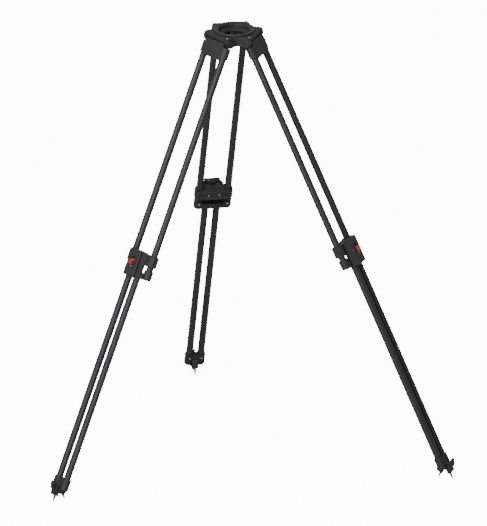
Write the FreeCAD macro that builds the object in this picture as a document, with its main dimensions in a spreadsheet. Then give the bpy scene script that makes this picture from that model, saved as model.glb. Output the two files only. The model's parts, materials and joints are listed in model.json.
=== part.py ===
import FreeCAD, Part
import math
import os
from types import SimpleNamespace

import PartDesign
import Sketcher

# A twin-tube tripod for a 100 mm bowl head.
#
# The origin is on the floor under the bowl's axis, +Z is up and leg 1 points along +Y.
# Each leg has a frame of its own: X along the hinge axle, Y out of the leg's outer face,
# and Z up the leg from the axle. Lengths are in millimetres and angles in degrees.

DRIVING_SIZES = {
    # stance
    "hinge_height": 1401.0,
    "hinge_reach": 61.5,
    "leg_angle": 25.0,
    # bowl
    "bowl_radius": 50.0,
    "seat_depth": 11.0,
    "seat_lead_radius": 57.0,
    "seat_lead_depth": 5.0,
    "throat_radius": 36.0,
    "throat_depth": 20.5,
    "rim_radius": 66.0,
    "rim_rise": 5.5,
    "ring_spigot_radius": 56.0,
    "ring_skirt_radius": 52.0,
    # crown casting
    "plate_rise": 16.5,
    "plate_thickness": 7.5,
    "plate_reach": 74.0,
    "plate_half_width": 58.0,
    "crown_height": 34.5,
    "side_hollow_radius": 43.6,
    "side_hollow_reach": 113.1,
    "bay_half_width": 46.3,
    "bay_floor_reach": 51.0,
    "rim_lip_reach": 70.3,
    "rim_lip_depth": 14.0,
    "core_radius": 47.0,
    "rib_half_width": 5.5,
    "boss_radius": 16.0,
    "boss_end": 59.0,
    "cap_radius": 11.5,
    "cap_thickness": 1.8,
    "axle_radius": 4.0,
    "crown_screw_side": 50.2,
    "crown_screw_reach": 69.6,
    "crown_screw_head": 3.1,
    # tubes
    "tube_radius": 11.0,
    "tube_wall": 1.6,
    "upper_spread": 45.6,
    "lower_spread": 18.45,
    "lower_offset": 15.2,
    "upper_tube_top": 24.0,
    "upper_tube_end": 794.0,
    "lower_tube_top": 718.6,
    "lower_tube_end": 1508.0,
    # yoke
    "barrel_radius": 8.4,
    "bush_radius": 5.6,
    "bush_length": 14.0,
    "running_gap": 0.05,
    "yoke_half_width": 45.2,
    "yoke_sleeve_top": 19.0,
    "yoke_sleeve_end": 55.0,
    "yoke_plate_end": 62.0,
    "yoke_face": 15.0,
    "sleeve_radius": 14.7,
    # leg clamp
    "clamp_half_width": 60.3,
    "clamp_top": 718.0,
    "clamp_end": 754.0,
    "clamp_inner": 18.0,
    "clamp_outer": 18.8,
    "clamp_recess": 3.0,
    "clamp_screw_side": 17.0,
    "clamp_screw_drop": 735.0,
    "bracket_top": 767.0,
    "bracket_end": 798.0,
    "bracket_bar_top": 779.0,
    "bracket_bar_inner": -11.0,
    "ear_boss_reach": 15.2,
    "ear_screw_drop": 773.5,
    "cover_top": 712.5,
    "cover_end": 801.0,
    "cover_half_width": 25.0,
    "cover_base_half_width": 33.5,
    "cover_face": 41.6,
    "cover_screw_drop": 768.5,
    "cover_screw_head": 2.3,
    "screw_head_radius": 3.0,
    "screw_shank_radius": 1.8,
    "guide_radius": 12.6,
    "slide_gap": 0.08,
    # lever, shoe and knob
    "pivot_offset": 38.0,
    "pivot_drop": 750.0,
    "pivot_radius": 2.0,
    "lever_half_width": 7.5,
    "lever_side_gap": 0.6,
    "lever_hub_radius": 6.0,
    "cam_throw": 1.0,
    "shoe_half_width": 14.0,
    "shoe_back": 30.6,
    "shoe_top": 740.0,
    "shoe_end": 766.0,
    "shoe_tube_gap": 0.35,
    "knob_side": -11.5,
    "knob_offset": 33.6,
    "knob_radius": 4.6,
    "knob_top": 712.7,
    "knob_head": 3.4,
    "knob_stem_end": 727.5,
    "knob_gap": 0.4,
    # foot
    "foot_socket_radius": 14.6,
    "foot_socket_top": 1474.0,
    "foot_socket_end": 1512.0,
    "foot_half_width": 10.0,
    "foot_screw_drop": 1482.0,
    "inner_spike_reach": 694.0,
    "outer_spike_reach": 741.0,
    "spike_radius": 5.0,
    "spike_length": 20.0,
    "spike_splay": 23.0,
    "spike_tip_radius": 2.0,
}

LEG_AZIMUTHS = {1: 90.0, 2: 210.0, 3: 330.0}
THIRD_OF_TURN = 120.0
AXIS_PLANES = {"X": "YZ_Plane", "Y": "XZ_Plane", "Z": "XY_Plane"}
TOLERANCE = 0.01


class Size:
    """A number, with the sheet expression that it comes from."""

    def __init__(self, value, text):
        self.value = value
        self.text = text

    def __add__(self, other):
        other = sized(other)
        return Size(self.value + other.value, f"({self.text} + {other.text})")

    def __sub__(self, other):
        other = sized(other)
        return Size(self.value - other.value, f"({self.text} - {other.text})")

    def __mul__(self, factor):
        factor = sized(factor)
        return Size(self.value * factor.value, f"({self.text} * {factor.text})")

    def __truediv__(self, divisor):
        divisor = sized(divisor)
        return Size(self.value / divisor.value, f"({self.text} / {divisor.text})")

    def __neg__(self):
        return Size(-self.value, f"(0 - {self.text})")

    def __radd__(self, other):
        return sized(other) + self

    def __rsub__(self, other):
        return sized(other) - self

    def __rmul__(self, other):
        return sized(other) * self


def sized(number):
    return number if isinstance(number, Size) else Size(float(number), repr(float(number)))


def sine(angle):
    return Size(math.sin(math.radians(angle.value)), f"sin({angle.text})")


def cosine(angle):
    return Size(math.cos(math.radians(angle.value)), f"cos({angle.text})")


def bind(thing, path, size):
    thing.setExpression(path, sized(size).text)


doc = FreeCAD.newDocument("tripod")
sheet = doc.addObject("Spreadsheet::Sheet", "Sizes")
for row, (alias, number) in enumerate(DRIVING_SIZES.items(), start=1):
    sheet.set(f"A{row}", alias.replace("_", " "))
    sheet.set(f"B{row}", str(number))
    sheet.setAlias(f"B{row}", alias)
doc.recompute()
d = SimpleNamespace(**{alias: Size(number, f"Sizes.{alias}") for alias, number in DRIVING_SIZES.items()})

subparts = []


def new_body(label):
    body = doc.addObject("PartDesign::Body", label)
    body.Label = label
    subparts.append(body)
    return body


def new_sketch(body, name, axis, level):
    """A sketch across one of the body's axes, level along it."""
    role = AXIS_PLANES[axis]
    origin_plane = next(plane for plane in body.Origin.OriginFeatures if plane.Role == role)
    sketch = body.newObject("Sketcher::SketchObject", name)
    sketch.AttachmentSupport = [(origin_plane, "")]
    sketch.MapMode = "FlatFace"
    bind(sketch, "AttachmentOffset.Base.z", level)
    return sketch


def pin_point(sketch, geometry, end, place):
    """Ties one point of the sketch's geometry to its distances from the origin."""
    for kind, size in zip(("DistanceX", "DistanceY"), place):
        size = sized(size)
        index = sketch.addConstraint(Sketcher.Constraint(kind, -1, 1, geometry, end, size.value))
        sketch.setExpression(f"Constraints[{index}]", size.text)


def outline(*corners):
    """A closed outline. A corner with a centre starts a clockwise arc about that centre."""

    def draw(sketch):
        starts = []
        for corner, following in zip(corners, corners[1:] + corners[:1]):
            here = FreeCAD.Vector(sized(corner[0]).value, sized(corner[1]).value, 0)
            there = FreeCAD.Vector(sized(following[0]).value, sized(following[1]).value, 0)
            if len(corner) == 2:
                sketch.addGeometry(Part.LineSegment(here, there))
                starts.append(1)
                continue
            centre = FreeCAD.Vector(sized(corner[2][0]).value, sized(corner[2][1]).value, 0)
            circle = Part.Circle(centre, FreeCAD.Vector(0, 0, 1), (here - centre).Length)
            sketch.addGeometry(Part.ArcOfCircle(circle, circle.parameter(there), circle.parameter(here)))
            starts.append(2)
        for index, start in enumerate(starts):
            following = (index + 1) % len(starts)
            ends = (index, 3 - start, following, starts[following])
            sketch.addConstraint(Sketcher.Constraint("Coincident", *ends))
            pin_point(sketch, index, start, corners[index][:2])
            if len(corners[index]) == 3:
                radius = sketch.Geometry[index].Radius
                sketch.addConstraint(Sketcher.Constraint("Radius", index, radius))

    return draw


def rectangle(low_x, low_y, high_x, high_y):
    return outline((low_x, low_y), (high_x, low_y), (high_x, high_y), (low_x, high_y))


def circles(*rounds):
    """Circles, each given by its centre's two distances and its radius."""

    def draw(sketch):
        for index, (across, along, radius) in enumerate(rounds):
            centre = FreeCAD.Vector(sized(across).value, sized(along).value, 0)
            normal = FreeCAD.Vector(0, 0, 1)
            sketch.addGeometry(Part.Circle(centre, normal, sized(radius).value))
            pin_point(sketch, index, 3, (across, along))
            number = sketch.addConstraint(Sketcher.Constraint("Radius", index, sized(radius).value))
            sketch.setExpression(f"Constraints[{number}]", sized(radius).text)

    return draw


def extrude(body, name, axis, draw, low, high, cut=False):
    """Adds or cuts the drawn shape from low to high along the axis."""
    # The XZ plane's own normal is -Y, so its sketch sits at the high side.
    level = -sized(high) if axis == "Y" else sized(low)
    sketch = new_sketch(body, name + "_sketch", axis, level)
    draw(sketch)
    feature = body.newObject("PartDesign::Pocket" if cut else "PartDesign::Pad", name)
    feature.Profile = sketch
    feature.Reversed = cut
    bind(feature, "Length", sized(high) - low)
    return feature


def cut(body, name, axis, draw, low, high):
    return extrude(body, name, axis, draw, low, high, cut=True)


def revolve(body, name, draw):
    """Turns the drawn half section about the body's Z axis."""
    sketch = new_sketch(body, name + "_sketch", "Y", 0)
    draw(sketch)
    feature = body.newObject("PartDesign::Revolution", name)
    feature.Profile = sketch
    feature.ReferenceAxis = (sketch, ["V_Axis"])
    feature.Angle = 360
    return feature


def around_crown(body, name, features):
    """Repeats the features at each leg, about the bowl's axis."""
    pattern = body.newObject("PartDesign::PolarPattern", name)
    pattern.Originals = features
    z_axis = next(line for line in body.Origin.OriginFeatures if line.Role == "Z_Axis")
    pattern.Axis = (z_axis, [""])
    pattern.Angle = 360
    pattern.Occurrences = len(LEG_AZIMUTHS)
    body.Tip = pattern
    return pattern


def soften(body, name, kind, size, wanted):
    """Rounds ("Fillet") or bevels ("Chamfer") the edges that the wanted test picks."""
    doc.recompute()
    base = body.Tip
    names = [f"Edge{index}" for index, edge in enumerate(base.Shape.Edges, start=1) if wanted(edge)]
    feature = body.newObject(f"PartDesign::{kind}", name)
    feature.Base = (base, names)
    if kind == "Fillet":
        feature.Radius = size
    else:
        feature.Size = size
    body.Tip = feature
    return feature


def lies_at(edge, axis, level):
    """True when the whole edge is at one level along the axis."""
    box = edge.BoundBox
    low = getattr(box, axis + "Min")
    high = getattr(box, axis + "Max")
    return abs(low - level) < TOLERANCE and abs(high - level) < TOLERANCE


def runs_along(edge, axis):
    box = edge.BoundBox
    spans = {"X": box.XLength, "Y": box.YLength, "Z": box.ZLength}
    along = spans.pop(axis)
    return along > TOLERANCE and max(spans.values()) < TOLERANCE


def turned(x, y, angle):
    """A point of the plan, turned about the bowl's axis."""
    cos_angle = math.cos(math.radians(angle))
    sin_angle = math.sin(math.radians(angle))
    return x * cos_angle - y * sin_angle, x * sin_angle + y * cos_angle


PLATE_TOP = d.hinge_height + d.plate_rise
PLATE_UNDER = PLATE_TOP - d.plate_thickness
CROWN_BOTTOM = PLATE_TOP - d.crown_height
RIM_TOP = PLATE_TOP + d.rim_rise
THROAT_HEIGHT = RIM_TOP - d.throat_depth
CLEAR_PAST = 12.0


def make_crown_casting():
    body = new_body("crown_casting")
    corners = []
    for number in LEG_AZIMUTHS:
        angle = -THIRD_OF_TURN * (number - 1)
        corners.append(turned(-d.plate_half_width, d.plate_reach, angle))
        corners.append(turned(d.plate_half_width, d.plate_reach, angle))
    extrude(body, "block", "Z", outline(*corners), CROWN_BOTTOM, PLATE_TOP)

    hollow = cut(
        body, "side_hollow", "Z",
        circles((0, -d.side_hollow_reach, d.side_hollow_radius)),
        CROWN_BOTTOM, PLATE_TOP,
    )
    arch = cut(
        body, "skirt_arch", "Y", circles((0, CROWN_BOTTOM - 60.0, 64.0)),
        -d.plate_reach - CLEAR_PAST, -d.core_radius,
    )
    bay = cut(
        body, "leg_bay", "X",
        outline(
            (d.bay_floor_reach, CROWN_BOTTOM - 1.0),
            (d.plate_reach + CLEAR_PAST, CROWN_BOTTOM - 1.0),
            (d.plate_reach + CLEAR_PAST, PLATE_TOP - d.rim_lip_depth),
            (d.rim_lip_reach, PLATE_TOP - d.rim_lip_depth),
            (d.rim_lip_reach, PLATE_UNDER),
            (d.bay_floor_reach, PLATE_UNDER),
        ),
        -d.bay_half_width, d.bay_half_width,
    )
    trim = cut(
        body, "sleeve_clearance", "X",
        outline(
            (d.hinge_reach + 3.0, CROWN_BOTTOM - 1.0),
            (d.plate_reach + CLEAR_PAST, CROWN_BOTTOM - 1.0),
            (d.plate_reach + CLEAR_PAST, CROWN_BOTTOM + 5.0),
            (d.plate_reach, CROWN_BOTTOM + 5.0),
            (d.hinge_reach + 3.0, CROWN_BOTTOM),
        ),
        -d.boss_end, d.boss_end,
    )
    around_crown(body, "sides_and_bays", [hollow, arch, bay, trim])
    soften(body, "top_bevel", "Chamfer", 1.2, lambda edge: lies_at(edge, "Z", PLATE_TOP.value))

    bosses = []
    for side, low, high in (
        ("left", d.bay_half_width, d.boss_end),
        ("right", -d.boss_end, -d.bay_half_width),
    ):
        boss = circles((d.hinge_reach, d.hinge_height, d.boss_radius))
        bosses.append(extrude(body, f"boss_{side}", "X", boss, low, high))
    around_crown(body, "bosses", bosses)

    cut(body, "ring_seat", "Z", circles((0, 0, d.ring_spigot_radius)), PLATE_UNDER, PLATE_TOP + 1.0)
    cut(body, "skirt_bore", "Z", circles((0, 0, d.ring_skirt_radius + 0.2)), THROAT_HEIGHT - 3.2, PLATE_UNDER)
    cut(body, "core_bore", "Z", circles((0, 0, d.core_radius)), CROWN_BOTTOM - 1.0, THROAT_HEIGHT - 3.2)
    rib = extrude(
        body, "rib", "Z",
        rectangle(-d.rib_half_width, d.throat_radius + 0.8, d.rib_half_width, d.core_radius + 2.0),
        CROWN_BOTTOM, THROAT_HEIGHT - 3.2,
    )
    around_crown(body, "ribs", [rib])

    axle_bore = cut(
        body, "axle_bore", "X", circles((d.hinge_reach, d.hinge_height, d.axle_radius)),
        -d.boss_end, d.boss_end,
    )
    screw_bores = cut(
        body, "screw_bores", "Z",
        circles(
            (-d.crown_screw_side, d.crown_screw_reach, 2.5),
            (d.crown_screw_side, d.crown_screw_reach, 2.5),
        ),
        PLATE_TOP - 7.0, PLATE_TOP,
    )
    around_crown(body, "bores", [axle_bore, screw_bores])


def make_bowl_ring():
    body = new_body("bowl_ring")
    centre = (0, RIM_TOP)
    lead_edge = (d.bowl_radius.value**2 - d.seat_lead_depth.value**2) ** 0.5
    seat_edge = (d.bowl_radius.value**2 - d.seat_depth.value**2) ** 0.5
    throat_lip = THROAT_HEIGHT - 3.0
    revolve(body, "ring", outline(
        (d.rim_radius, PLATE_TOP),
        (d.rim_radius, RIM_TOP - 1.2),
        (d.rim_radius - 1.2, RIM_TOP),
        (d.seat_lead_radius, RIM_TOP),
        (lead_edge, RIM_TOP - d.seat_lead_depth, centre),
        (seat_edge, RIM_TOP - d.seat_depth),
        (d.bowl_radius - 0.4, RIM_TOP - d.seat_depth),
        (d.bowl_radius - 0.4, RIM_TOP - d.seat_depth - 1.8),
        (d.bowl_radius - 3.4, RIM_TOP - d.seat_depth - 1.8),
        (d.throat_radius, THROAT_HEIGHT),
        (d.throat_radius, throat_lip),
        (d.throat_radius + 4.5, throat_lip),
        (d.ring_skirt_radius, THROAT_HEIGHT + 4.0),
        (d.ring_skirt_radius, PLATE_UNDER),
        (d.ring_spigot_radius, PLATE_UNDER),
        (d.ring_spigot_radius, PLATE_TOP),
    ))


def make_hinge_axles():
    body = new_body("hinge_axles")
    axle = extrude(
        body, "axle", "X", circles((d.hinge_reach, d.hinge_height, d.axle_radius)),
        -d.boss_end, d.boss_end,
    )
    around_crown(body, "axles", [axle])


def make_hinge_caps():
    body = new_body("hinge_caps")
    caps = []
    for side, low, high in (
        ("left", d.boss_end, d.boss_end + d.cap_thickness),
        ("right", -d.boss_end - d.cap_thickness, -d.boss_end),
    ):
        cap = circles((d.hinge_reach, d.hinge_height, d.cap_radius))
        caps.append(extrude(body, f"cap_{side}", "X", cap, low, high))
    around_crown(body, "caps", caps)


def make_hinge_screws():
    body = new_body("hinge_screws")
    pieces = []
    for side, across in (("left", d.crown_screw_side), ("right", -d.crown_screw_side)):
        place = (across, d.crown_screw_reach)
        shank = circles((*place, 2.5))
        head = circles((*place, d.crown_screw_head), (*place, d.crown_screw_head / 2))
        pieces.append(extrude(body, f"shank_{side}", "Z", shank, PLATE_TOP - 7.0, PLATE_TOP))
        pieces.append(extrude(body, f"head_{side}", "Z", head, PLATE_TOP, PLATE_TOP + 1.8))
    around_crown(body, "screws", pieces)


def both_sides(spread, offset, radius):
    """Two circles, one for each tube of a pair."""
    return circles((-spread, offset, radius), (spread, offset, radius))


def across_leg(body, name, draw, top, end, cut_away=False):
    """Extrudes a section across the leg between two distances down from the axle."""
    return extrude(body, name, "Z", draw, -sized(end), -sized(top), cut_away)


def leg_frame(number):
    """The leg's frame: on the hinge axle, with Z up the leg."""
    azimuth = LEG_AZIMUTHS[number] - 90.0
    reach, height, angle = d.hinge_reach.value, d.hinge_height.value, d.leg_angle.value
    turn = FreeCAD.Rotation(FreeCAD.Vector(0, 0, 1), azimuth)
    lean = FreeCAD.Rotation(FreeCAD.Vector(1, 0, 0), angle)
    return FreeCAD.Placement(turn.multVec(FreeCAD.Vector(0, reach, height)), turn * lean)


def floor_point(reach, height):
    """Where a point above the floor, straight out along the leg, lies in the leg's frame."""
    out = sized(reach) - d.hinge_reach
    up = sized(height) - d.hinge_height
    lean_sine, lean_cosine = sine(d.leg_angle), cosine(d.leg_angle)
    return out * lean_cosine + up * lean_sine, up * lean_cosine - out * lean_sine


def make_yoke(body):
    extrude(body, "barrel", "X", circles((0, 0, d.barrel_radius)), -d.yoke_half_width, d.yoke_half_width)
    extrude(body, "web", "X", outline(
        (-8.0, -3.0),
        (-8.0, -d.yoke_sleeve_end + 3.0),
        (d.yoke_face - 7.0, -d.yoke_plate_end),
        (d.yoke_face, -d.yoke_plate_end),
        (d.yoke_face, -7.0),
        (9.5, -4.5),
        (6.0, -4.0),
    ), -d.yoke_half_width, d.yoke_half_width)
    across_leg(
        body, "sleeves", both_sides(d.upper_spread, 0, d.sleeve_radius),
        d.yoke_sleeve_top, d.yoke_sleeve_end,
    )
    hollow = rectangle(-24.0, -9.0, 24.0, d.yoke_face - 5.0)
    across_leg(body, "hollow", hollow, 14.0, d.yoke_plate_end + 1.0, True)
    across_leg(
        body, "tube_sockets", both_sides(d.upper_spread, 0, d.tube_radius),
        d.upper_tube_top, d.yoke_plate_end + 1.0, True,
    )
    cut(
        body, "bush_bore", "X", circles((0, 0, d.bush_radius)),
        -d.yoke_half_width, d.yoke_half_width,
    )
    soften(body, "face_edges", "Chamfer", 1.2, lambda edge: (
        lies_at(edge, "Y", d.yoke_face.value) and runs_along(edge, "X")
    ))


def make_yoke_bushes(body):
    bore = d.axle_radius + d.running_gap
    for side, sign in (("left", 1), ("right", -1)):
        outer = sign * d.yoke_half_width
        inner = outer - sign * d.bush_length
        flange = outer + sign * 0.8
        low, high = sorted((outer, inner), key=lambda size: size.value)
        sleeve = circles((0, 0, d.bush_radius), (0, 0, bore))
        extrude(body, f"sleeve_{side}", "X", sleeve, low, high)
        low, high = sorted((outer, flange), key=lambda size: size.value)
        rim = circles((0, 0, d.bush_radius + 2.4), (0, 0, bore))
        extrude(body, f"flange_{side}", "X", rim, low, high)


def make_tube(spread, offset, top, end):
    def make(body):
        wall = circles((spread, offset, d.tube_radius), (spread, offset, d.tube_radius - d.tube_wall))
        across_leg(body, "tube", wall, top, end)

    return make


def clamp_section(inner, corner):
    """The castings' section: flat faces with wide bevels round the upper tubes."""
    half = d.clamp_half_width
    outer = d.clamp_outer
    return outline(
        (half, -8.0), (half, outer - corner), (half - 8.3, outer), (-half + 8.3, outer),
        (-half, outer - corner), (-half, -8.0), (-half + 8.3, -inner), (half - 8.3, -inner),
    )


def bore_for_tubes(body, top, end):
    """Sockets for the upper tubes and seats for the lower tubes' guides."""
    upper = both_sides(d.upper_spread, 0, d.tube_radius)
    lower = both_sides(d.lower_spread, d.lower_offset, d.guide_radius)
    across_leg(body, "upper_sockets", upper, top, d.upper_tube_end, True)
    across_leg(body, "guide_seats", lower, top, end, True)


def make_clamp_casting(body):
    inner, top, end = -d.clamp_inner, -d.clamp_top, -d.clamp_end
    face = inner + d.clamp_recess
    across_leg(body, "block", clamp_section(d.clamp_inner, 10.0), d.clamp_top, d.clamp_end)
    soften(body, "rims", "Chamfer", 1.2, lambda edge: (
        lies_at(edge, "Z", top.value) or lies_at(edge, "Z", end.value)
    ))
    cut(body, "steps", "X", outline(
        (inner - 1.0, top + 1.0), (face + 3.0, top + 1.0), (face + 3.0, top - 4.0),
        (face, top - 7.0), (face, end + 10.0), (inner - 1.0, end + 6.0),
    ), -42.0, 42.0)
    bore_for_tubes(body, d.clamp_top - 1.0, d.clamp_end + 1.0)
    bores = both_sides(d.clamp_screw_side, -d.clamp_screw_drop, d.screw_shank_radius)
    cut(body, "screw_bores", "Y", bores, face, face + 9.0)


def make_lower_bracket(body):
    """Two round ears on the upper tubes' ends, joined by a bar behind the lower tubes."""
    ears = both_sides(d.upper_spread, 0, d.sleeve_radius)
    across_leg(body, "ears", ears, d.bracket_top, d.bracket_end)
    soften(body, "ear_ends", "Fillet", 6.0, lambda edge: lies_at(edge, "Z", -d.bracket_end.value))
    bar = rectangle(-d.upper_spread, d.bracket_bar_inner, d.upper_spread, d.clamp_outer)
    across_leg(body, "bar", bar, d.bracket_bar_top, d.bracket_end)
    bosses = both_sides(d.upper_spread, -d.ear_screw_drop, 3.8)
    extrude(body, "screw_bosses", "Y", bosses, -d.ear_boss_reach, -12.0)
    bore_for_tubes(body, d.bracket_top - 1.0, d.bracket_end + 1.0)
    bores = both_sides(d.upper_spread, -d.ear_screw_drop, d.screw_shank_radius)
    cut(body, "screw_bores", "Y", bores, -d.ear_boss_reach, 3.0 - d.ear_boss_reach)


def make_clamp_cover(body):
    face = d.cover_face
    half = d.cover_half_width
    base = d.cover_base_half_width
    foot = d.clamp_outer
    across_leg(body, "block", outline(
        (-base, foot), (base, foot), (half, foot + 13.0), (half, face - 2.0),
        (half - 2.0, face), (-half + 2.0, face), (-half, face - 2.0), (-half, foot + 13.0),
    ), d.cover_top, d.cover_end)
    guides = both_sides(d.lower_spread, d.lower_offset, d.guide_radius)
    across_leg(body, "guide_seats", guides, d.cover_top - 1.0, d.cover_end + 1.0, True)
    slot_half = d.lever_half_width + d.lever_side_gap
    slot = rectangle(-slot_half, -d.pivot_drop - 15.0, slot_half, -d.pivot_drop + 12.0)
    cut(body, "lever_slot", "Y", slot, d.shoe_back - 0.6, face + 1.0)
    shoe_half = d.shoe_half_width + 0.5
    window = rectangle(-shoe_half, -d.shoe_end - 0.6, shoe_half, -d.shoe_top + 0.6)
    cut(body, "shoe_window", "Y", window, foot - 1.0, d.shoe_back + 1.2)
    pin = circles((d.pivot_offset, -d.pivot_drop, d.pivot_radius))
    cut(body, "pin_bore", "X", pin, -half, half)
    head = circles((d.knob_side, d.knob_offset, d.knob_radius + 0.3))
    stem = circles((d.knob_side, d.knob_offset, 3.0 + d.running_gap))
    head_end = d.knob_top + d.knob_head + d.knob_gap
    across_leg(body, "knob_recess", head, d.cover_top - 1.0, head_end, True)
    across_leg(body, "knob_bore", stem, d.cover_top - 1.0, d.knob_stem_end + 1.0, True)
    screw = circles((0, -d.cover_screw_drop, d.screw_shank_radius))
    cut(body, "screw_bore", "Y", screw, face - 6.0, face)


def make_tube_guides(body):
    bore = d.tube_radius + d.slide_gap
    for name, top, end in (
        ("upper", d.clamp_top + 0.2, d.shoe_top - 1.5),
        ("lower", d.bracket_bar_top, d.bracket_end),
    ):
        rings = circles(
            (-d.lower_spread, d.lower_offset, d.guide_radius), (-d.lower_spread, d.lower_offset, bore),
            (d.lower_spread, d.lower_offset, d.guide_radius), (d.lower_spread, d.lower_offset, bore),
        )
        across_leg(body, name, rings, top, end)


def make_clamp_screws(body):
    """Socket screws on the inner faces, and one in the middle of the cover."""
    head, shank = d.screw_head_radius, d.screw_shank_radius
    for name, side, drop, face, depth in (
        ("clamp", d.clamp_screw_side, d.clamp_screw_drop, d.clamp_recess - d.clamp_inner, 9.0),
        ("ear", d.upper_spread, d.ear_screw_drop, -d.ear_boss_reach, 3.0),
    ):
        places = ((-side, -drop), (side, -drop))
        rims = [(*place, radius) for place in places for radius in (head, head / 2)]
        extrude(body, f"{name}_heads", "Y", circles(*rims), face - 2.2, face - 0.6)
        extrude(body, f"{name}_seats", "Y", both_sides(side, -drop, head), face - 0.6, face)
        extrude(body, f"{name}_shanks", "Y", both_sides(side, -drop, shank), face, face + depth)
    face, place = d.cover_face, (0, -d.cover_screw_drop)
    extrude(body, "cover_shank", "Y", circles((*place, shank)), face - 6.0, face)
    rim = circles((*place, d.cover_screw_head), (*place, d.cover_screw_head / 2))
    extrude(body, "cover_head", "Y", rim, face, face + 1.4)


def make_lever_pin(body):
    pin = circles((d.pivot_offset, -d.pivot_drop, d.pivot_radius))
    extrude(body, "pin", "X", pin, -d.cover_half_width, d.cover_half_width)


def make_adjuster_knob(body):
    axis = (d.knob_side, d.knob_offset)
    end = d.knob_top + d.knob_head
    across_leg(body, "grip", circles((*axis, d.knob_radius)), d.knob_top, end)
    across_leg(body, "stem", circles((*axis, 3.0)), end, d.knob_stem_end)
    soften(body, "top_bevel", "Chamfer", 0.6, lambda edge: lies_at(edge, "Z", -d.knob_top.value))


def make_clamp_shoe(body):
    half = d.shoe_half_width
    back = d.shoe_back
    across_leg(body, "pad", outline(
        (-half, back), (-half, back - 5.0), (-5.0, back - 11.6), (5.0, back - 11.6),
        (half, back - 5.0), (half, back),
    ), d.shoe_top, d.shoe_end)
    grooves = both_sides(d.lower_spread, d.lower_offset, d.tube_radius + d.shoe_tube_gap)
    across_leg(body, "tube_grooves", grooves, d.shoe_top, d.shoe_end, True)


def make_clamp_lever(body):
    half = d.lever_half_width
    pivot_y, pivot_z = d.pivot_offset, -d.pivot_drop
    hub = circles((pivot_y - d.cam_throw, pivot_z, d.lever_hub_radius))
    extrude(body, "cam", "X", hub, -half, half)
    extrude(body, "arm", "X", outline(
        (pivot_y + 3.6, pivot_z + 4.5),
        (pivot_y + 4.6, pivot_z + 1.0),
        (pivot_y + 7.5, pivot_z - 0.5),
        (pivot_y + 12.0, pivot_z - 2.0),
        (pivot_y + 14.0, pivot_z - 4.0),
        (pivot_y + 13.4, pivot_z - 6.0),
        (pivot_y + 10.4, pivot_z - 7.2),
        (pivot_y + 11.6, pivot_z - 9.0),
        (pivot_y + 11.6, pivot_z - 13.0),
        (pivot_y - 4.5, pivot_z - 13.0),
        (pivot_y - 4.5, pivot_z),
        (pivot_y - 2.0, pivot_z + 4.5),
    ), -half, half)
    bore = circles((pivot_y, pivot_z, d.pivot_radius + d.running_gap))
    cut(body, "pin_bore", "X", bore, -half, half)


def spike_point(reach, outward, along, across=0):
    """A point beside one floor spike, by its distance up from the tip and out from the middle."""
    splay_sine, splay_cosine = sine(d.spike_splay), cosine(d.spike_splay)
    up = sized(along) * splay_cosine + (sized(across) + d.spike_tip_radius) * splay_sine
    out = sized(across) * splay_cosine - sized(along) * splay_sine
    return floor_point(sized(reach) + out * outward, up)


def make_foot_casting(body):
    half = d.foot_half_width
    top = d.foot_socket_top
    end = d.foot_socket_end
    inner, outer = d.inner_spike_reach, d.outer_spike_reach
    middle = (inner + outer) / 2
    across_leg(
        body, "sockets", both_sides(d.lower_spread, d.lower_offset, d.foot_socket_radius), top, end,
    )
    across_leg(body, "bridge", rectangle(
        -d.lower_spread, d.lower_offset - 11.0, d.lower_spread, d.lower_offset + 11.0,
    ), top + 4.0, end)
    extrude(body, "horns", "X", outline(
        floor_point(middle - 19.0, 55.0),
        floor_point(middle + 13.0, 50.0),
        floor_point(outer - 1.0, 38.0),
        floor_point(outer + 3.0, 28.0),
        spike_point(outer, 1, d.spike_length, 6.5),
        spike_point(outer, 1, d.spike_length, -6.5),
        floor_point(middle + 8.0, 26.0),
        floor_point(middle + 4.0, 30.0),
        floor_point(middle - 4.0, 30.0),
        floor_point(middle - 8.0, 26.0),
        spike_point(inner, -1, d.spike_length, -6.5),
        spike_point(inner, -1, d.spike_length, 6.5),
        floor_point(inner - 4.0, 27.0),
        floor_point(inner - 2.5, 40.0),
    ), -half, half)
    extrude(body, "hook", "X", outline(
        floor_point(middle + 8.0, 48.0),
        floor_point(outer - 8.0, 56.0),
        floor_point(outer - 4.0, 66.0),
        floor_point(outer - 0.5, 71.0),
        floor_point(outer + 4.0, 64.0),
        floor_point(outer + 5.0, 46.0),
        floor_point(outer - 1.0, 38.0),
        floor_point(middle + 8.0, 38.0),
    ), -half + 3.0, half - 3.0)
    across_leg(
        body, "tube_bores", both_sides(d.lower_spread, d.lower_offset, d.tube_radius),
        top - 1.0, d.lower_tube_end, True,
    )
    face = d.lower_offset - d.foot_socket_radius
    pockets = both_sides(d.lower_spread, -d.foot_screw_drop, d.screw_head_radius)
    cut(body, "screw_pockets", "Y", pockets, face - 1.0, face + 0.5)


def make_foot_spikes(body):
    """Two steel points that splay apart under the foot."""
    for name, reach, outward in (
        ("inner", d.inner_spike_reach, -1),
        ("outer", d.outer_spike_reach, 1),
    ):
        point = body.newObject("PartDesign::AdditiveCone", f"{name}_point")
        bind(point, "Radius1", d.spike_tip_radius)
        bind(point, "Radius2", d.spike_radius)
        bind(point, "Height", d.spike_length)
        tip = spike_point(reach, outward, 0)
        bind(point, "Placement.Base.y", tip[0])
        bind(point, "Placement.Base.z", tip[1])
        lean = outward * d.spike_splay.value - d.leg_angle.value
        point.Placement.Rotation = FreeCAD.Rotation(FreeCAD.Vector(1, 0, 0), lean)


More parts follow.
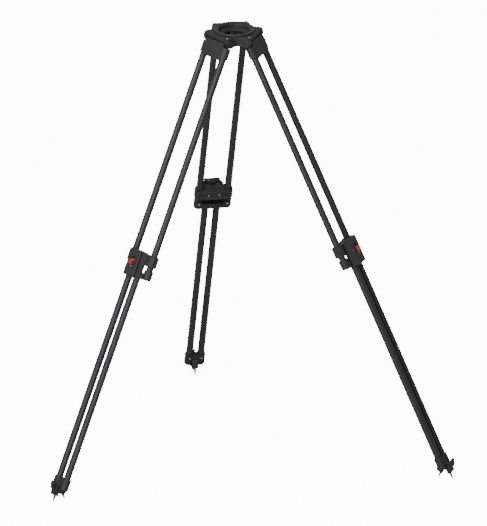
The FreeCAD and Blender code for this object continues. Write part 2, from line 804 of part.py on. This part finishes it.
def make_foot_screws(body):
    face = d.lower_offset - d.foot_socket_radius
    places = ((-d.lower_spread, -d.foot_screw_drop), (d.lower_spread, -d.foot_screw_drop))
    head = d.screw_head_radius
    heads = [(*place, radius) for place in places for radius in (head, head / 2)]
    extrude(body, "heads", "Y", circles(*heads), face - 1.6, face - 0.2)
    seats = both_sides(d.lower_spread, -d.foot_screw_drop, head)
    extrude(body, "seats", "Y", seats, face - 0.2, face + 0.5)


left_upper = make_tube(d.upper_spread, 0, d.upper_tube_top, d.upper_tube_end)
right_upper = make_tube(-d.upper_spread, 0, d.upper_tube_top, d.upper_tube_end)
left_lower = make_tube(d.lower_spread, d.lower_offset, d.lower_tube_top, d.lower_tube_end)
right_lower = make_tube(-d.lower_spread, d.lower_offset, d.lower_tube_top, d.lower_tube_end)

LEG_PIECES = {
    "yoke": make_yoke,
    "yoke_bushes": make_yoke_bushes,
    "upper_tube_left": left_upper,
    "upper_tube_right": right_upper,
    "clamp_casting": make_clamp_casting,
    "clamp_cover": make_clamp_cover,
    "lower_bracket": make_lower_bracket,
    "tube_guides": make_tube_guides,
    "clamp_screws": make_clamp_screws,
    "lever_pin": make_lever_pin,
    "adjuster_knob": make_adjuster_knob,
    "clamp_shoe": make_clamp_shoe,
    "clamp_lever": make_clamp_lever,
    "lower_tube_left": left_lower,
    "lower_tube_right": right_lower,
    "foot_casting": make_foot_casting,
    "foot_spikes": make_foot_spikes,
    "foot_screws": make_foot_screws,
}

make_crown_casting()
make_bowl_ring()
make_hinge_axles()
make_hinge_caps()
make_hinge_screws()
for leg_number in LEG_AZIMUTHS:
    for piece_name, make_piece in LEG_PIECES.items():
        piece = new_body(f"leg_{leg_number}_{piece_name}")
        make_piece(piece)
        piece.Placement = leg_frame(leg_number)

doc.recompute()

for thing in doc.Objects:
    if "Invalid" in thing.State or "Error" in thing.State:
        raise RuntimeError(f"{thing.Name} failed: {thing.State}")
for piece in subparts:
    if piece.Shape.isNull() or not piece.Shape.isValid() or not piece.Shape.Solids:
        raise RuntimeError(f"{piece.Label} is not a valid solid")

os.makedirs("parts", exist_ok=True)
for piece in subparts:
    piece.Shape.exportStep(f"parts/{piece.Label}.step")
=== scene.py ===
import json
import math

import bmesh
import bpy
from mathutils import Matrix, Vector


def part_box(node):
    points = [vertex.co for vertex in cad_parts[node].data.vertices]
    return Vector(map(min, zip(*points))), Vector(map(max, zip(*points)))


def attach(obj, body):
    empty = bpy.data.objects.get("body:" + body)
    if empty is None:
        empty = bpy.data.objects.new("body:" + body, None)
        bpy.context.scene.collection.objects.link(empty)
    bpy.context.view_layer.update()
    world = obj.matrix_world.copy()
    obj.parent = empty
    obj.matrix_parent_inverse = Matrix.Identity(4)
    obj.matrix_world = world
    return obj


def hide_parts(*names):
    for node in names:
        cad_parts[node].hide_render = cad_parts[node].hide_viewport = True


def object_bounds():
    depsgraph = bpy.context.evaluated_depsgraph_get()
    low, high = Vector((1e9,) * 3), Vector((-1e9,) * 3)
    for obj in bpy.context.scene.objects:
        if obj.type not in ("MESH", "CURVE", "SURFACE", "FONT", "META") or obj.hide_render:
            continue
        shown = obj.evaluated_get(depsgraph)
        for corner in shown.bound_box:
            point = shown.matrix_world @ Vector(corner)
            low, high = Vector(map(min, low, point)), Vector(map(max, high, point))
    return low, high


# A twin-tube tripod with an empty bowl, standing on a plain floor under soft light.
# Everything is in metres, in the part's own frame.

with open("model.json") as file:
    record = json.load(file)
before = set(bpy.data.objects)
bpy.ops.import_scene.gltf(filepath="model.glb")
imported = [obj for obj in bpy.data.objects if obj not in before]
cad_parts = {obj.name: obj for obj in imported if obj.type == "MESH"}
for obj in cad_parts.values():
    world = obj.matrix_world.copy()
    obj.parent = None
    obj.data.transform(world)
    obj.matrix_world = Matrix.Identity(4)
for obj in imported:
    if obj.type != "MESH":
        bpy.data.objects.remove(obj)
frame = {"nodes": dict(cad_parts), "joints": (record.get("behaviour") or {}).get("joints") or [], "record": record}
cad_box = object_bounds()

NODES = frame["nodes"]
JOINTS = {joint["name"]: joint for joint in frame["joints"]}
SLOTS = {entry["node"]: entry["material_slot"] for entry in frame["record"]["subparts"]}
LEGS = sorted(name[:-len("swing")] for name in JOINTS if name.endswith("_swing"))
MM = 0.001
WHITE = (1.0, 1.0, 1.0, 1.0)


# ---------------------------------------------------------------- camera and light

CAMERA_AZIMUTH = math.radians(-9.92)
CAMERA_ELEVATION = math.radians(20.3)
CAMERA_ROLL = math.radians(0.19)
CAMERA_DISTANCE = 5.0
CAMERA_REACH = 60.0
VIEW_HEIGHT = 1.6646
AIM_HEIGHT = 0.6311
AIM_TO_THE_RIGHT = 0.0320

LIGHT_AIM = (0, 0, 0.7)
ROOM_LIGHT = 0.55
FLOOR_SIZE = 60.0
FLOOR_GLOW = 12.0


def place_camera():
    data = bpy.data.cameras.new("studio_camera")
    data.type = "ORTHO"
    data.ortho_scale = VIEW_HEIGHT
    data.clip_end = CAMERA_REACH
    camera = bpy.data.objects.new("studio_camera", data)
    bpy.context.scene.collection.objects.link(camera)
    level = Vector((-math.sin(CAMERA_AZIMUTH), math.cos(CAMERA_AZIMUTH), 0.0))
    right = Vector((level.y, -level.x, 0.0))
    look = level * math.cos(CAMERA_ELEVATION) - Vector((0, 0, math.sin(CAMERA_ELEVATION)))
    up = right.cross(look)
    turn = Matrix((right, up, -look)).transposed().to_4x4() @ Matrix.Rotation(CAMERA_ROLL, 4, "Z")
    aim = Vector((0, 0, AIM_HEIGHT)) + right * AIM_TO_THE_RIGHT
    camera.matrix_world = Matrix.Translation(aim - look * CAMERA_DISTANCE) @ turn
    bpy.context.scene.camera = camera


def soft_box(name, place, size, power):
    data = bpy.data.lights.new(name, "AREA")
    data.shape = "RECTANGLE"
    data.size, data.size_y = size
    data.energy = power
    light = bpy.data.objects.new(name, data)
    bpy.context.scene.collection.objects.link(light)
    turn = (Vector(LIGHT_AIM) - Vector(place)).to_track_quat("-Z", "Y")
    light.matrix_world = Matrix.Translation(place) @ turn.to_matrix().to_4x4()


def light_studio():
    soft_box("key_light", place=(-2.5, -2.75, 4.1), size=(2.2, 2.2), power=290.0)
    soft_box("front_light", place=(-1.6, -4.0, 1.2), size=(2.0, 2.0), power=75.0)
    world = bpy.data.worlds.new("studio_world")
    world.use_nodes = True
    background = world.node_tree.nodes["Background"]
    background.inputs["Color"].default_value = WHITE
    background.inputs["Strength"].default_value = ROOM_LIGHT
    bpy.context.scene.world = world


# ---------------------------------------------------------------- finishes

class Signal:
    """A value that varies over a surface. Arithmetic on it adds Math nodes."""

    def __init__(self, tree, socket):
        self.tree = tree
        self.socket = socket

    def math(self, operation, first, second):
        node = self.tree.nodes.new("ShaderNodeMath")
        node.operation = operation
        for socket, value in zip(node.inputs, (first, second)):
            feed(self.tree, socket, value)
        return Signal(self.tree, node.outputs[0])

    def __add__(self, other):
        return self.math("ADD", self, other)

    def __radd__(self, other):
        return self.math("ADD", other, self)

    def __sub__(self, other):
        return self.math("SUBTRACT", self, other)

    def __rsub__(self, other):
        return self.math("SUBTRACT", other, self)

    def __mul__(self, other):
        return self.math("MULTIPLY", self, other)

    def __rmul__(self, other):
        return self.math("MULTIPLY", other, self)


def feed(tree, socket, value):
    if isinstance(value, Signal):
        tree.links.new(value.socket, socket)
    else:
        socket.default_value = value


class Finish:
    """One procedural material, with a Principled shader."""

    def __init__(self, name, **constants):
        self.material = bpy.data.materials.new(name)
        self.material.use_nodes = True
        self.tree = self.material.node_tree
        self.shader = self.tree.nodes["Principled BSDF"]
        for word, value in constants.items():
            self.shader.inputs[word.replace("_", " ")].default_value = value

    def add(self, kind, settings, inputs, output):
        node = self.tree.nodes.new("ShaderNode" + kind)
        for word, value in settings.items():
            setattr(node, word, value)
        for socket, value in inputs.items():
            feed(self.tree, node.inputs[socket], value)
        return Signal(self.tree, node.outputs[output])

    def set(self, **signals):
        for word, value in signals.items():
            feed(self.tree, self.shader.inputs[word.replace("_", " ")], value)

    def place(self):
        return self.add("TexCoord", {}, {}, "Object")

    def noise(self, where, scale, detail, roughness):
        inputs = {"Vector": where, "Scale": scale, "Detail": detail, "Roughness": roughness}
        return self.add("TexNoise", {}, inputs, 0)

    def ramp(self, value, low, high, to_low=0.0, to_high=1.0):
        inputs = {0: value, 1: low, 2: high, 3: to_low, 4: to_high}
        return self.add("MapRange", {"clamp": True}, inputs, 0)

    def layer(self, amount, below, colour):
        """A colour over what is below it."""
        settings = {"data_type": "RGBA"}
        return self.add("Mix", settings, {0: amount, 6: below, 7: (*colour, 1.0)}, 2)

    def blend(self, amount, first, second):
        """A mix of two plain colours."""
        return self.layer(amount, (*first, 1.0), second)

    def dot(self, first, second):
        return self.add("VectorMath", {"operation": "DOT_PRODUCT"}, {0: first, 1: second}, "Value")

    def along(self, where, direction):
        """How far a point lies along a direction."""
        return self.dot(where, tuple(direction))

    def soft_edges(self, radius):
        """The normal with its edges rounded, and how much each point is on an edge."""
        rounded = self.add("Bevel", {"samples": 6}, {"Radius": radius}, "Normal")
        flat = self.add("NewGeometry", {}, {}, "Normal")
        return rounded, self.ramp(1.0 - self.dot(rounded, flat), 0.01, 0.22)

    def bump(self, height, strength, distance, normal):
        inputs = {"Strength": strength, "Distance": distance, "Height": height, "Normal": normal}
        return self.add("Bump", {}, inputs, 0)


COAT_DARK = (0.020, 0.020, 0.021)
COAT_DEEP = (0.014, 0.014, 0.015)
COAT_WORN = (0.075, 0.075, 0.078)


def coated_casting(name, colour, deep, worn):
    """Satin coating over a casting: fine orange peel, faint clouds and rubbed edges."""
    finish = Finish(name, Specular_IOR_Level=0.26)
    where = finish.place()
    peel = finish.noise(where, 900.0, 4.0, 0.62)
    clouds = finish.noise(where, 21.0, 5.0, 0.6)
    dust = finish.noise(where, 140.0, 6.0, 0.7)
    rounded, edge = finish.soft_edges(0.9 * MM)
    rubbed = edge * finish.ramp(dust, 0.42, 0.62)
    base = finish.blend(finish.ramp(clouds, 0.3, 0.7), deep, colour)
    speckled = finish.layer(finish.ramp(dust, 0.66, 0.74, 0.0, 0.22), base, worn)
    finish.set(
        Base_Color=finish.layer(rubbed * 0.65, speckled, worn),
        Roughness=0.44 + peel * 0.16 - rubbed * 0.1,
        Normal=finish.bump(peel, 0.32, 0.16 * MM, rounded),
    )
    return finish.material


def tube_finish(name, leg_axes, colour, deep):
    """Anodised tube: fine drawn lines along the tube, and slow changes of depth."""
    finish = Finish(name, Specular_IOR_Level=0.32)
    where = finish.place()
    across, outward, up = (finish.along(where, axis) for axis in leg_axes)
    drawn = finish.add("CombineXYZ", {}, {0: across, 1: outward, 2: up * 0.012}, 0)
    lines = finish.noise(drawn, 1500.0, 3.0, 0.6)
    slow = finish.noise(where, 9.0, 4.0, 0.55)
    scuffs = finish.add("CombineXYZ", {}, {0: across, 1: outward, 2: up * 0.25}, 0)
    scuffed = finish.ramp(finish.noise(scuffs, 260.0, 5.0, 0.72), 0.64, 0.78)
    rounded, edge = finish.soft_edges(0.4 * MM)
    base = finish.blend(finish.ramp(slow, 0.3, 0.7), deep, colour)
    pale = tuple(channel * 2.1 for channel in colour)
    finish.set(
        Base_Color=finish.layer(scuffed * 0.3 + edge * 0.35, base, pale),
        Roughness=0.38 + lines * 0.14 + scuffed * 0.08,
        Normal=finish.bump(lines, 0.18, 0.06 * MM, rounded),
    )
    return finish.material


def turned_bowl(name, colour, deep, worn):
    """A coated ring whose seat shows the lathe's fine circles."""
    finish = Finish(name, Specular_IOR_Level=0.28)
    where = finish.place()
    x, y, z = (finish.along(where, axis) for axis in Matrix.Identity(3))
    radius = finish.add("Math", {"operation": "SQRT"}, {0: x * x + y * y}, 0)
    circles = finish.noise(finish.add("CombineXYZ", {}, {0: radius, 2: z}, 0), 2600.0, 2.0, 0.5)
    peel = finish.noise(where, 1000.0, 3.0, 0.6)
    stretched = finish.add("CombineXYZ", {}, {0: x * 0.3, 1: y * 0.3, 2: z * 4.0}, 0)
    rubs = finish.noise(stretched, 120.0, 5.0, 0.7)
    rounded, edge = finish.soft_edges(0.8 * MM)
    rubbed = edge * 0.5 + finish.ramp(rubs, 0.6, 0.75, 0.0, 0.25)
    base = finish.blend(circles, deep, colour)
    finish.set(
        Base_Color=finish.layer(rubbed, base, worn),
        Roughness=0.36 + circles * 0.12 + peel * 0.06,
        Normal=finish.bump(circles, 0.3, 0.08 * MM, rounded),
    )
    return finish.material


def moulded_plastic(name, colour, deep, worn, roughness, coat=0.0):
    """Moulded plastic with a spark-eroded grain and paler, handled edges."""
    finish = Finish(name, Specular_IOR_Level=0.5, Coat_Weight=coat, Coat_Roughness=0.2)
    where = finish.place()
    grain = finish.noise(where, 2200.0, 2.0, 0.5)
    patches = finish.noise(where, 60.0, 4.0, 0.6)
    rounded, edge = finish.soft_edges(0.5 * MM)
    base = finish.blend(finish.ramp(patches, 0.3, 0.7), deep, colour)
    finish.set(
        Base_Color=finish.layer(edge * 0.4, base, worn),
        Roughness=roughness + grain * 0.12,
        Normal=finish.bump(grain, 0.25, 0.05 * MM, rounded),
    )
    return finish.material


def bare_steel(name, colour, deep, roughness, lines):
    """Turned or plated steel with fine lines and a little tarnish."""
    finish = Finish(name, Metallic=1.0)
    where = finish.place()
    brushed = finish.noise(where, lines, 3.0, 0.7)
    tarnish = finish.noise(where, 180.0, 5.0, 0.65)
    rounded, edge = finish.soft_edges(0.25 * MM)
    finish.set(
        Base_Color=finish.blend(finish.ramp(tarnish, 0.3, 0.75) - edge * 0.3, colour, deep),
        Roughness=roughness + brushed * 0.14 + finish.ramp(tarnish, 0.5, 0.8, 0.0, 0.12),
        Normal=finish.bump(brushed, 0.15, 0.03 * MM, rounded),
    )
    return finish.material


def floor_finish():
    """A pale floor that glows, so that it stays plain behind the tripod."""
    finish = Finish(
        "studio_floor", Specular_IOR_Level=0.2, Emission_Color=WHITE, Emission_Strength=FLOOR_GLOW,
    )
    mottle = finish.noise(finish.place(), 2.0, 3.0, 0.5)
    finish.set(
        Base_Color=finish.blend(mottle, (0.90, 0.90, 0.90), (0.93, 0.93, 0.93)),
        Roughness=0.7 + mottle * 0.1,
    )
    return finish.material


# ---------------------------------------------------------------- where each leg is

def leg_axes(leg):
    """The leg's own axes: along the hinge, out of its outer face, and up the leg."""
    along_hinge = Vector(JOINTS[leg + "swing"]["axis"])
    up_leg = Vector(JOINTS[leg + "extend"]["axis"])
    return along_hinge, up_leg.cross(along_hinge), up_leg


def leg_matrix(leg, joint="swing"):
    """A frame on the leg's own axes, at one of its joints."""
    turn = Matrix(leg_axes(leg)).transposed().to_4x4()
    return Matrix.Translation(JOINTS[leg + joint]["pos_m"]) @ turn


def local_box(node, to_local):
    """A node's lowest and highest corners in a frame of its own."""
    corners = [to_local @ vertex.co for vertex in NODES[node].data.vertices]
    low = Vector(min(corner[axis] for corner in corners) for axis in range(3))
    high = Vector(max(corner[axis] for corner in corners) for axis in range(3))
    return low, high


# ---------------------------------------------------------------- mesh tools

SMOOTH_ANGLE = math.radians(35.0)


def finish_mesh(name, mesh_data, matrix, finishes, body, slot):
    """Makes the object, puts its shape in place and lets it ride on its body."""
    bmesh.ops.recalc_face_normals(mesh_data, faces=mesh_data.faces)
    mesh_data.transform(matrix)
    mesh = bpy.data.meshes.new(name)
    mesh_data.to_mesh(mesh)
    mesh_data.free()
    for face in mesh.polygons:
        face.use_smooth = True
    mesh.set_sharp_from_angle(angle=SMOOTH_ANGLE)
    mesh.materials.append(finishes[slot])
    piece = bpy.data.objects.new(name, mesh)
    bpy.context.scene.collection.objects.link(piece)
    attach(piece, body)
    return piece


def axis_matrix(place, direction):
    """A frame at a place, with Z along the direction."""
    turn = Vector(direction).to_track_quat("Z", "Y")
    return Matrix.Translation(place) @ turn.to_matrix().to_4x4()


def lathe(mesh_data, rings, matrix, steps):
    """Skins rings of (height, radius at an angle) and closes both ends."""
    loops = []
    for height, radius_at in rings:
        loop = []
        for step in range(steps):
            angle = math.tau * step / steps
            radius = radius_at(angle)
            point = Vector((radius * math.cos(angle), radius * math.sin(angle), height))
            loop.append(mesh_data.verts.new(matrix @ point))
        loops.append(loop)
    for lower, upper in zip(loops, loops[1:]):
        for step in range(steps):
            after = (step + 1) % steps
            mesh_data.faces.new((lower[step], lower[after], upper[after], upper[step]))
    mesh_data.faces.new(loops[0])
    mesh_data.faces.new(loops[-1])


def round_ring(height, radius):
    return height, lambda angle: radius


def hex_ring(height, across_flats):
    """A ring that follows a hexagon's sides."""

    def radius_at(angle):
        sector = math.pi / 3
        return across_flats / 2 / math.cos((angle % sector) - sector / 2)

    return height, radius_at


SCREW_STEPS = 48


def socket_screw(mesh_data, place, direction, head, height, shank):
    """A socket screw from its head's radius and height and its shank's length.

    It has a bevelled head and a hexagonal recess, and sits with the head's underside at the place.
    """
    bevel = height * 0.22
    lathe(mesh_data, [
        round_ring(-shank, head * 0.52),
        round_ring(-0.02 * MM, head * 0.56),
        round_ring(0.0, head * 0.94),
        round_ring(height * 0.12, head),
        round_ring(height - bevel, head),
        round_ring(height - bevel * 0.3, head - bevel * 0.65),
        round_ring(height, head - bevel * 1.5),
        hex_ring(height, head * 1.08),
        hex_ring(height - 0.3 * MM, head * 0.98),
        hex_ring(height * 0.3, head * 0.98),
        round_ring(height * 0.22, head * 0.2),
    ], axis_matrix(place, direction), SCREW_STEPS)


# ---------------------------------------------------------------- pieces that replace plain CAD ones

CLAMP_SCREW = {"head": 3.0 * MM, "height": 2.2 * MM, "shank": 9.0 * MM}
CLAMP_SCREW_SIDE = 17.0 * MM
CLAMP_SCREW_DROP = 17.0 * MM
CLAMP_BAND_DEPTH = 3.0 * MM
EAR_SCREW = {"head": 3.0 * MM, "height": 2.2 * MM, "shank": 3.0 * MM}
EAR_SCREW_SIDE = 45.6 * MM
EAR_SCREW_DROP = 6.5 * MM
COVER_SCREW = {"head": 2.3 * MM, "height": 1.4 * MM, "shank": 6.0 * MM}
COVER_SCREW_RISE = 32.5 * MM
FOOT_SCREW = {"head": 3.0 * MM, "height": 1.4 * MM, "shank": 0.5 * MM}
CROWN_SCREW = {"head": 3.1 * MM, "height": 1.8 * MM, "shank": 6.5 * MM}
CROWN_SCREW_OUT = 69.6 * MM
CROWN_SCREW_SIDE = 50.2 * MM


def make_screws(leg, finishes):
    """The leg's socket screws, each on the seat that its CAD screw has."""
    matrix = leg_matrix(leg)
    to_local = matrix.inverted()
    clamp_low, clamp_high = local_box(leg + "clamp_casting", to_local)
    bracket_low, bracket_high = local_box(leg + "lower_bracket", to_local)
    cover_low, cover_high = local_box(leg + "clamp_cover", to_local)
    inward = (0, -1, 0)
    mesh_data = bmesh.new()
    for side in (-1, 1):
        band_face = clamp_low.y + CLAMP_BAND_DEPTH
        clamp_place = (side * CLAMP_SCREW_SIDE, band_face, clamp_high.z - CLAMP_SCREW_DROP)
        socket_screw(mesh_data, clamp_place, inward, **CLAMP_SCREW)
        ear_place = (side * EAR_SCREW_SIDE, bracket_low.y, bracket_high.z - EAR_SCREW_DROP)
        socket_screw(mesh_data, ear_place, inward, **EAR_SCREW)
    cover_place = (0, cover_high.y, cover_low.z + COVER_SCREW_RISE)
    socket_screw(mesh_data, cover_place, (0, 1, 0), **COVER_SCREW)
    piece = finish_mesh(
        leg + "clamp_screws_detail", mesh_data, matrix, finishes, leg + "upper", "bright_steel",
    )
    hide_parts(leg + "clamp_screws")

    low, high = local_box(leg + "foot_screws", to_local)
    mesh_data = bmesh.new()
    for side in (-1, 1):
        side_way = side * (high.x - FOOT_SCREW["head"])
        place = (side_way, low.y + FOOT_SCREW["height"], (low.z + high.z) / 2)
        socket_screw(mesh_data, place, inward, **FOOT_SCREW)
    piece = finish_mesh(
        leg + "foot_screws_detail", mesh_data, matrix, finishes, leg + "lower", "bright_steel",
    )
    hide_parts(leg + "foot_screws")


def make_crown_screws(finishes):
    """The pinch screws in the crown's top, two for each leg."""
    mesh_data = bmesh.new()
    plate_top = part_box("crown_casting")[1].z
    for leg in LEGS:
        along_hinge, _, _ = leg_axes(leg)
        hinge = Vector(JOINTS[leg + "swing"]["pos_m"])
        out = Vector((hinge.x, hinge.y, 0)).normalized()
        for side in (-1, 1):
            place = out * CROWN_SCREW_OUT + along_hinge * side * CROWN_SCREW_SIDE
            place.z = plate_top
            socket_screw(mesh_data, place, (0, 0, 1), **CROWN_SCREW)
    piece = finish_mesh(
        "hinge_screws_detail", mesh_data, Matrix.Identity(4), finishes, "crown", "bright_steel",
    )
    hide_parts("hinge_screws")


HINGE_CAP_SIDE = 59.0 * MM
HINGE_CAP_STEPS = 60


def make_hinge_caps(finishes):
    """Domed pivot caps with a stepped rim and a hexagonal recess."""
    mesh_data = bmesh.new()
    for leg in LEGS:
        along_hinge, _, _ = leg_axes(leg)
        hinge = Vector(JOINTS[leg + "swing"]["pos_m"])
        for side in (-1, 1):
            place = hinge + along_hinge * side * HINGE_CAP_SIDE
            lathe(mesh_data, [
                round_ring(0.0, 11.5 * MM),
                round_ring(0.9 * MM, 11.5 * MM),
                round_ring(1.3 * MM, 11.1 * MM),
                round_ring(1.3 * MM, 9.2 * MM),
                round_ring(1.0 * MM, 8.9 * MM),
                round_ring(1.0 * MM, 8.0 * MM),
                round_ring(1.4 * MM, 7.6 * MM),
                round_ring(1.75 * MM, 5.0 * MM),
                round_ring(1.8 * MM, 3.4 * MM),
                hex_ring(1.8 * MM, 5.2 * MM),
                hex_ring(0.6 * MM, 5.0 * MM),
            ], axis_matrix(place, along_hinge * side), HINGE_CAP_STEPS)
    piece = finish_mesh(
        "hinge_caps_detail", mesh_data, Matrix.Identity(4), finishes, "crown", "cast_black",
    )
    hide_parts("hinge_caps")


LEVER_HALF_WIDTH = 7.5 * MM
LEVER_BEVEL = 0.7 * MM
CAM_RADIUS = 6.0
CAM_OFFSET = -1.0
RIB_HEIGHT = 0.22
RIB_HALF_WAVES = 5


def lever_outline():
    """The lever's side view about its pivot, in millimetres.

    It runs round the cam, along the inner side and the tip, and back over the ribbed thumb face.
    """
    points = []
    for step in range(11):
        angle = math.radians(95.0 + step * 13.9)
        points.append((CAM_OFFSET + CAM_RADIUS * math.cos(angle), CAM_RADIUS * math.sin(angle)))
    points += [(-4.5, -12.3), (-3.8, -13.0), (10.8, -13.0), (11.6, -12.2), (11.6, -9.3), (10.8, -8.2)]
    points += [(10.6, -7.3), (11.6, -6.9), (13.0, -6.2), (13.8, -5.0), (13.9, -4.0), (13.4, -3.1)]
    for step in range(16):
        share = step / 15
        rib = RIB_HEIGHT * math.sin(share * RIB_HALF_WAVES * math.pi)
        points.append((12.4 - 7.4 * share + rib * 0.4, -2.4 + 2.6 * share + rib))
    points += [(4.5, 1.2), (4.1, 2.9), (3.4, 4.4), (1.8, 5.2)]
    return points


def make_lever(leg, finishes):
    matrix = leg_matrix(leg, "lever_turn")
    mesh_data = bmesh.new()
    corners = [Vector((-LEVER_HALF_WIDTH, y * MM, z * MM)) for y, z in lever_outline()]
    near = [mesh_data.verts.new(corner) for corner in corners]
    side = mesh_data.faces.new(near)
    swept = bmesh.ops.extrude_face_region(mesh_data, geom=[side])["geom"]
    moved = [item for item in swept if isinstance(item, bmesh.types.BMVert)]
    bmesh.ops.translate(mesh_data, verts=moved, vec=(2 * LEVER_HALF_WIDTH, 0, 0))
    piece = finish_mesh(
        leg + "clamp_lever_detail", mesh_data, matrix, finishes, leg + "lever", "lever_red",
    )
    bevel = piece.modifiers.new("soft_edges", "BEVEL")
    bevel.width = LEVER_BEVEL
    bevel.segments = 3
    bevel.limit_method = "ANGLE"
    bevel.angle_limit = math.radians(50.0)
    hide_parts(leg + "clamp_lever")


KNOB_HEAD_HEIGHT = 3.4 * MM
KNOB_STEM_DEPTH = 14.8 * MM
KNOB_STEM_RADIUS = 2.9 * MM
KNOB_STEPS = 144
KNURL_DEPTH = 0.22 * MM
KNURL_COUNT = 24


def make_knob(leg, finishes):
    """A knurled steel adjuster with a hexagonal recess and a plain stem."""
    joint = JOINTS[leg + "knob_turn"]
    to_local = leg_matrix(leg).inverted()
    _, high = local_box(leg + "adjuster_knob", to_local)
    top = high.z - (to_local @ Vector(joint["pos_m"])).z
    base = top - KNOB_HEAD_HEIGHT

    def knurled(height, size):
        def radius_at(angle):
            crest = abs(math.sin(angle * KNURL_COUNT / 2))
            return size - KNURL_DEPTH * (1 - crest) ** 2

        return height, radius_at

    mesh_data = bmesh.new()
    lathe(mesh_data, [
        round_ring(top - KNOB_STEM_DEPTH, KNOB_STEM_RADIUS),
        round_ring(base - 0.02 * MM, KNOB_STEM_RADIUS),
        round_ring(base, 3.8 * MM),
        knurled(base + 0.3 * MM, 4.4 * MM),
        knurled(base + 0.55 * MM, 4.6 * MM),
        knurled(top - 0.75 * MM, 4.6 * MM),
        knurled(top - 0.3 * MM, 4.3 * MM),
        round_ring(top, 3.8 * MM),
        round_ring(top, 2.3 * MM),
        hex_ring(top - 0.2 * MM, 3.6 * MM),
        hex_ring(top - 1.6 * MM, 3.6 * MM),
        round_ring(top - 1.8 * MM, 1.0 * MM),
    ], axis_matrix(joint["pos_m"], joint["axis"]), KNOB_STEPS)
    piece = finish_mesh(
        leg + "adjuster_knob_detail", mesh_data, Matrix.Identity(4), finishes, leg + "knob", "steel",
    )
    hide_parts(leg + "adjuster_knob")


PLUG_STEPS = 48
PLUG_BODY_RADIUS = 9.35 * MM
PLUG_DISH_RADIUS = 4.0 * MM


def make_tube_plugs(leg, finishes):
    """Moulded plugs in the lower tubes' top ends."""
    matrix = leg_matrix(leg)
    mesh_data = bmesh.new()
    for side in ("left", "right"):
        low, high = local_box(leg + "lower_tube_" + side, matrix.inverted())
        place = ((low.x + high.x) / 2, (low.y + high.y) / 2, high.z)
        lathe(mesh_data, [
            round_ring(-12.0 * MM, 9.0 * MM),
            round_ring(-11.0 * MM, PLUG_BODY_RADIUS),
            round_ring(0.02 * MM, PLUG_BODY_RADIUS),
            round_ring(0.02 * MM, 10.95 * MM),
            round_ring(0.35 * MM, 10.9 * MM),
            round_ring(0.5 * MM, 10.5 * MM),
            round_ring(0.5 * MM, PLUG_DISH_RADIUS),
            round_ring(0.2 * MM, 3.6 * MM),
        ], Matrix.Translation(place), PLUG_STEPS)
    finish_mesh(leg + "tube_plugs", mesh_data, matrix, finishes, leg + "lower", "bush_polymer")


# ---------------------------------------------------------------- putting it together

def dress_cad_nodes(finishes, tube_finishes):
    """Each CAD node takes the finish of its slot, with lines that run along its own leg on the tubes."""
    for name, node in NODES.items():
        slot = SLOTS[name]
        leg = next((leg for leg in LEGS if name.startswith(leg)), None)
        material = tube_finishes[leg] if slot == "tube_black" else finishes[slot]
        node.data.materials.clear()
        node.data.materials.append(material)


def lay_floor():
    bpy.ops.mesh.primitive_plane_add(size=FLOOR_SIZE, location=(0, 0, cad_box[0].z))
    floor = bpy.context.active_object
    floor.name = "studio_floor"
    floor.visible_diffuse = False
    floor.visible_glossy = False
    floor.data.materials.append(floor_finish())


def main():
    place_camera()
    light_studio()
    coat = (COAT_DARK, COAT_DEEP, COAT_WORN)
    red = ((0.34, 0.018, 0.018), (0.26, 0.012, 0.012), (0.5, 0.09, 0.09))
    polymer = ((0.022, 0.022, 0.023), COAT_DEEP, COAT_WORN)
    finishes = {
        "cast_black": coated_casting("cast_black_coating", *coat),
        "bowl_black": turned_bowl("bowl_black_turned", *coat),
        "bush_polymer": moulded_plastic("bush_polymer", *polymer, roughness=0.5),
        "lever_red": moulded_plastic("lever_red_moulded", *red, roughness=0.32, coat=0.2),
        "steel": bare_steel("turned_steel", (0.22, 0.22, 0.225), (0.12, 0.12, 0.12), 0.28, 900.0),
        "bright_steel": bare_steel("plated_steel", (0.62, 0.62, 0.63), (0.42, 0.42, 0.42), 0.24, 1400.0),
    }
    tube_finishes = {
        leg: tube_finish(leg + "tube_anodised", leg_axes(leg), COAT_DARK, COAT_DEEP)
        for leg in LEGS
    }
    dress_cad_nodes(finishes, tube_finishes)
    make_crown_screws(finishes)
    make_hinge_caps(finishes)
    for leg in LEGS:
        make_screws(leg, finishes)
        make_lever(leg, finishes)
        make_knob(leg, finishes)
        make_tube_plugs(leg, finishes)
    lay_floor()


main()
